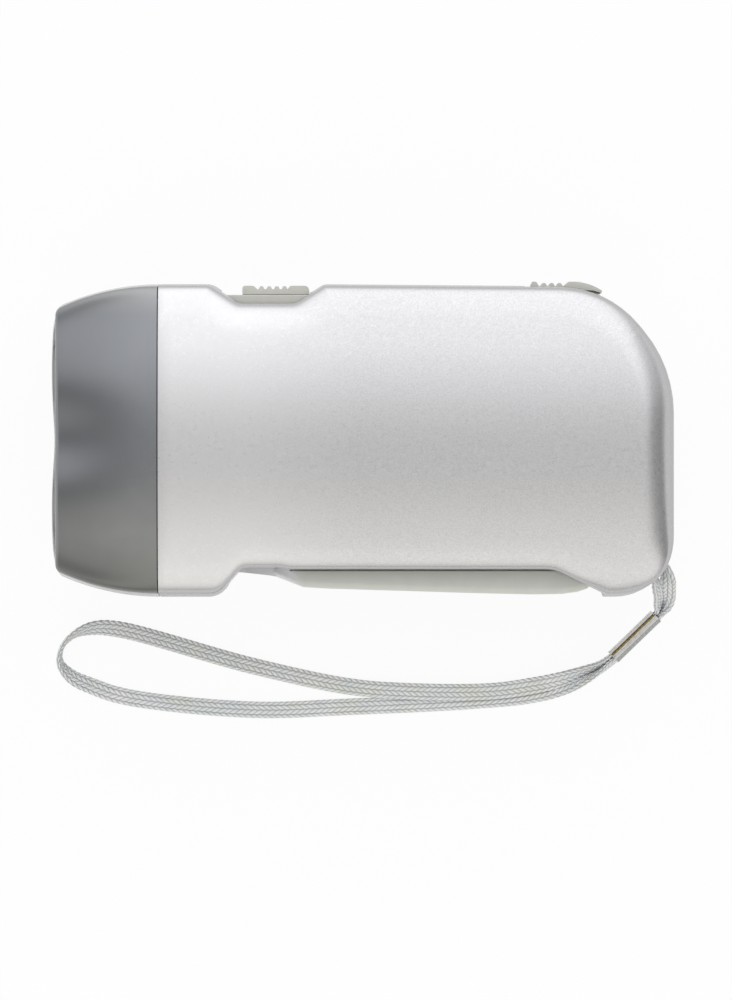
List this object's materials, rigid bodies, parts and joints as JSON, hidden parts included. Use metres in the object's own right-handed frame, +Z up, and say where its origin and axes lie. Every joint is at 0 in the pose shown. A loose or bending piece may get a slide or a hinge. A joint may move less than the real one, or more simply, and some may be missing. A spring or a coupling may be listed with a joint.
{
  "type": "squeeze dynamo torch",
  "caption": "Hand squeezed dynamo torch: satin shell halves, smoked head with side by side lamps, fold-in lever, slide switch, latch and braided wrist strap.",
  "frame": {"origin": "centre of the torch's own box, on the plane that its flat side rests on, without the strap", "axes": "+X towards the tail, -X towards the head, +Y towards the switch, -Y towards the squeeze lever, +Z up through its thickness"},
  "size_m": [0.1064, 0.0748, 0.04],
  "materials": {
    "silver_shell": "satin silver paint with a fine metallic grain",
    "smoked_head": "glossy dark grey, smoked",
    "clear_lens": "clear, polished",
    "reflector_coating": "vacuum coated mirror",
    "lamp_resin": "clear cast resin",
    "grey_plastic": "fine moulded, greenish grey",
    "circuit_board": "solder mask",
    "nylon": "moulded, off-white",
    "black_plastic": "moulded, black",
    "steel": "plated",
    "copper": "bare or lacquered copper",
    "magnet": "sintered, dark",
    "sleeve_film": "shrink film",
    "red_wire": "extruded insulation",
    "black_wire": "extruded insulation",
    "strap_braid": "flat braid, light grey",
    "crimp_metal": "folded sheet metal, nickel plated"
  },
  "bodies": {
    "body": {"upper_shell": "silver_shell", "lower_shell": "silver_shell", "head_bezel": "smoked_head", "front_lens": "clear_lens", "reflector": "reflector_coating", "led_upper": "lamp_resin", "led_lower": "lamp_resin", "led_board": "circuit_board", "switch_plate": "grey_plastic", "switch_case": "black_plastic", "lever_pin": "steel", "lever_spring": "steel", "drive_axle": "steel", "second_axle": "steel", "rotor_axle": "steel", "bearing_plate": "nylon", "plate_screw_1": "steel", "plate_screw_2": "steel", "stator_core": "steel", "coil_bobbin": "nylon", "coil_winding": "copper", "rectifier_board": "circuit_board", "battery_cell_1": "steel", "battery_cell_2": "steel", "battery_cell_3": "steel", "battery_sleeve": "sleeve_film", "casing_screw_1": "steel", "casing_screw_2": "steel", "casing_screw_3": "steel", "casing_screw_4": "steel", "strap_post": "steel", "battery_wire_positive": "red_wire", "battery_wire_negative": "black_wire", "led_wire_positive": "red_wire", "led_wire_negative": "black_wire", "switch_wire_1": "red_wire", "switch_wire_2": "black_wire", "coil_wire_1": "copper", "coil_wire_2": "copper", "wrist_strap": "strap_braid", "strap_crimp": "crimp_metal"},
    "lever": {"squeeze_lever": "grey_plastic", "lever_rack": "nylon", "rack_screw_1": "steel", "rack_screw_2": "steel"},
    "pinion": {"drive_pinion": "nylon"},
    "first_gear": {"main_gear": "nylon"},
    "second_gear": {"intermediate_gear": "nylon"},
    "rotor": {"rotor_hub": "nylon", "rotor_magnet": "magnet", "flywheel": "steel"},
    "switch": {"switch_knob": "grey_plastic", "switch_contact": "copper"},
    "latch": {"latch_slider": "grey_plastic", "latch_hook": "steel"}
  },
  "joints": [
    {"name": "lever_hinge", "type": "hinge", "parent": "body", "child": "lever", "pos_m": [-0.0205, -0.0178, 0.02], "axis": [0, 0, -1], "range_deg": [0, 20]},
    {"name": "pinion_spin", "type": "hinge", "parent": "body", "child": "pinion", "pos_m": [0.02195, -0.00318, 0.02], "axis": [0, 0, -1], "range_deg": [0, 200]},
    {"name": "first_gear_spin", "type": "hinge", "parent": "body", "child": "first_gear", "pos_m": [0.02195, -0.00318, 0.026], "axis": [0, 0, 1], "continuous": true},
    {"name": "second_gear_spin", "type": "hinge", "parent": "body", "child": "second_gear", "pos_m": [0.00626, 0.00662, 0.028], "axis": [0, 0, 1], "continuous": true},
    {"name": "rotor_spin", "type": "hinge", "parent": "body", "child": "rotor", "pos_m": [-0.00452, 0.00113, 0.02], "axis": [0, 0, 1], "continuous": true},
    {"name": "switch_slide", "type": "slide", "parent": "body", "child": "switch", "axis": [-1, 0, 0], "range_m": [0, 0.003]},
    {"name": "latch_slide", "type": "slide", "parent": "body", "child": "latch", "axis": [1, 0, 0], "range_m": [0, 0.003]}
  ],
  "couplings": [
    {"joint": "pinion_spin", "follows": "lever_hinge", "ratio": 10},
    {"joint": "second_gear_spin", "follows": "rotor_spin", "ratio": -0.25},
    {"joint": "first_gear_spin", "follows": "rotor_spin", "ratio": 0.069444}
  ]
}
